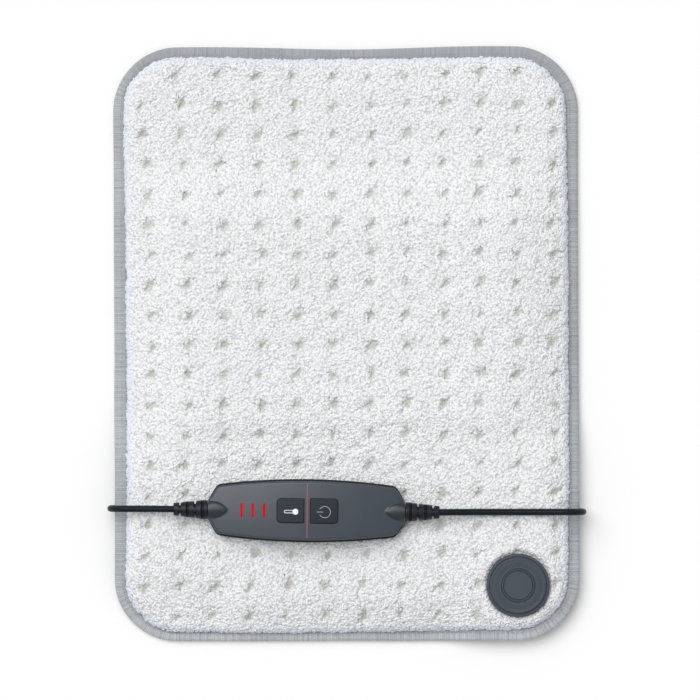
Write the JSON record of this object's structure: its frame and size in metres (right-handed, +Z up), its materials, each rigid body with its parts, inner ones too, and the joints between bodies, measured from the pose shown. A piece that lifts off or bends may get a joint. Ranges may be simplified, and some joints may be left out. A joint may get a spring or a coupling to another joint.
{
  "type": "heating pad with controller",
  "caption": "Quilted plush electric heating pad with a hand controller lying on it, a round connector cap, and a mains lead and plug tucked under the pad.",
  "frame": {"origin": "on the table under the middle of the pad", "axes": "+X to the pad's right, +Y to its top edge, away from the controller, +Z up"},
  "size_m": [0.3234, 0.4, 0.0395],
  "materials": {
    "plush": "curly white fleece pile",
    "wadding": "needled wadding",
    "backing": "brushed knit",
    "binding": "ribbed woven tape",
    "heating_cable": "matt",
    "shell": "satin",
    "button": "satin",
    "light_bar": "gloss red",
    "centre_line": "dull red",
    "cap": "satin",
    "boot": "matt",
    "lead": "satin",
    "black_plastic": "satin",
    "board": "solder mask",
    "steel": "zinc plated",
    "nickel": "nickel plated",
    "copper_wire": "insulated wire",
    "pale_plastic": "matt",
    "glass": "clear"
  },
  "bodies": {
    "pad_and_controller": {"pad_top_cover": "plush", "upper_fleece": "wadding", "heating_wire": "heating_cable", "lower_fleece": "wadding", "pad_back_cover": "backing", "edge_binding": "binding", "connector_cap": "cap", "connector_base": "black_plastic", "cap_screw_1": "steel", "cap_screw_2": "steel", "cap_screw_3": "steel", "contact_pin_1": "nickel", "contact_pin_2": "nickel", "contact_pin_3": "nickel", "coupling_plug": "boot", "coupling_boot": "boot", "mains_lead": "lead", "mains_lead_coil": "lead", "coil_tie": "black_plastic", "mains_lead_tail": "lead", "plug_boot": "boot", "plug_body": "black_plastic", "plug_pin_1": "nickel", "plug_pin_2": "nickel", "pad_lead": "lead", "controller_top_shell": "shell", "controller_bottom_shell": "shell", "centre_line_inlay": "centre_line", "level_window_1": "light_bar", "level_window_2": "light_bar", "level_window_3": "light_bar", "shell_screw_1": "steel", "shell_screw_2": "steel", "shell_screw_3": "steel", "shell_screw_4": "steel", "circuit_board": "board", "heat_switch": "steel", "power_switch": "steel", "level_led_1": "pale_plastic", "level_led_2": "pale_plastic", "level_led_3": "pale_plastic", "triac": "black_plastic", "fuse": "glass", "film_capacitor": "pale_plastic", "control_chip": "black_plastic", "mains_boot": "boot", "mains_wire_1": "copper_wire", "mains_wire_2": "copper_wire", "pad_boot": "boot", "pad_wire_1": "copper_wire", "pad_wire_2": "copper_wire"},
    "heat_key": {"heat_button": "button", "heat_switch_plunger": "black_plastic"},
    "power_key": {"power_button": "button", "power_switch_plunger": "black_plastic"}
  },
  "joints": [
    {"name": "heat_button_press", "type": "slide", "parent": "pad_and_controller", "child": "heat_key", "axis": [0, 0, -1], "range_m": [0, 0.0006], "stiffness_N_per_m": 4000, "springref_m": -0.0003},
    {"name": "power_button_press", "type": "slide", "parent": "pad_and_controller", "child": "power_key", "axis": [0, 0, -1], "range_m": [0, 0.0006], "stiffness_N_per_m": 4000, "springref_m": -0.0003}
  ]
}
